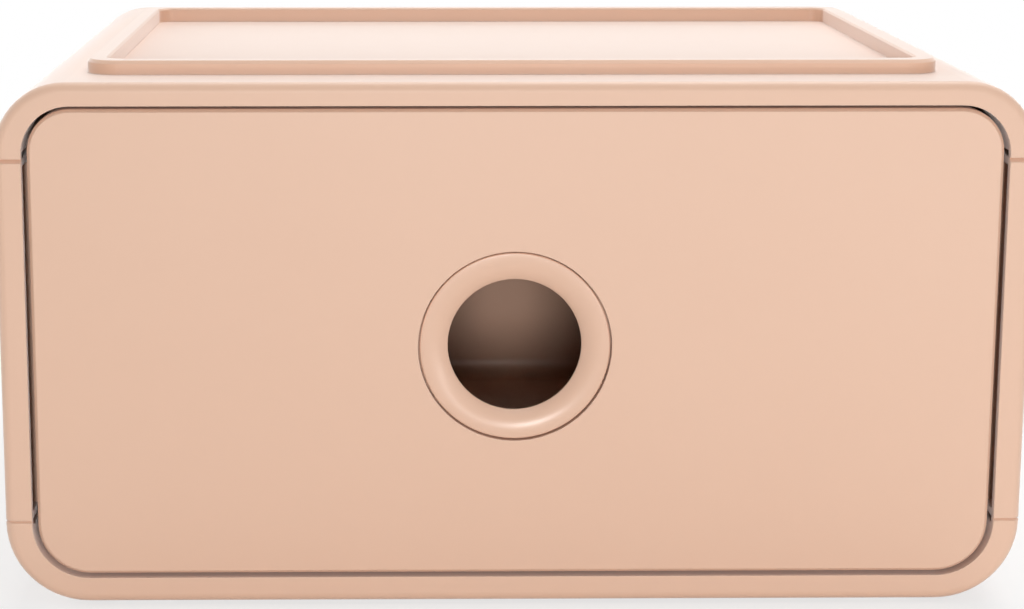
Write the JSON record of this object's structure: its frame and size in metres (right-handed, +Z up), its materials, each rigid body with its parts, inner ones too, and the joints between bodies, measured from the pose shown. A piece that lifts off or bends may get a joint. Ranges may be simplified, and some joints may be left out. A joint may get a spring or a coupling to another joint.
{
  "type": "stackable drawer box",
  "caption": "Stackable plastic drawer box with rounded shoulders, a raised stacking ridge round a shallow top tray, and a flush drawer with a round finger ring.",
  "frame": {"origin": "on the ground, under the centre of the box's footprint", "axes": "+Z up, -Y towards the drawer front, +X to the right seen from the front"},
  "size_m": [0.26, 0.2, 0.1391],
  "materials": {
    "shell": "satin moulded plastic",
    "drawer": "satin moulded plastic",
    "ring": "satin moulded plastic, slightly glossier than the drawer",
    "pad": "soft translucent pad"
  },
  "bodies": {
    "casing": {"top_cover": "shell", "base": "shell", "left_side_panel": "shell", "right_side_panel": "shell", "back_panel": "shell", "foot_front_left": "pad", "foot_front_right": "pad", "foot_back_left": "pad", "foot_back_right": "pad"},
    "drawer": {"drawer_tub": "drawer", "drawer_front": "drawer", "finger_ring": "ring"}
  },
  "joints": [
    {"name": "drawer_slide", "type": "slide", "parent": "casing", "child": "drawer", "axis": [0, -1, 0], "range_m": [0, 0.14]}
  ]
}
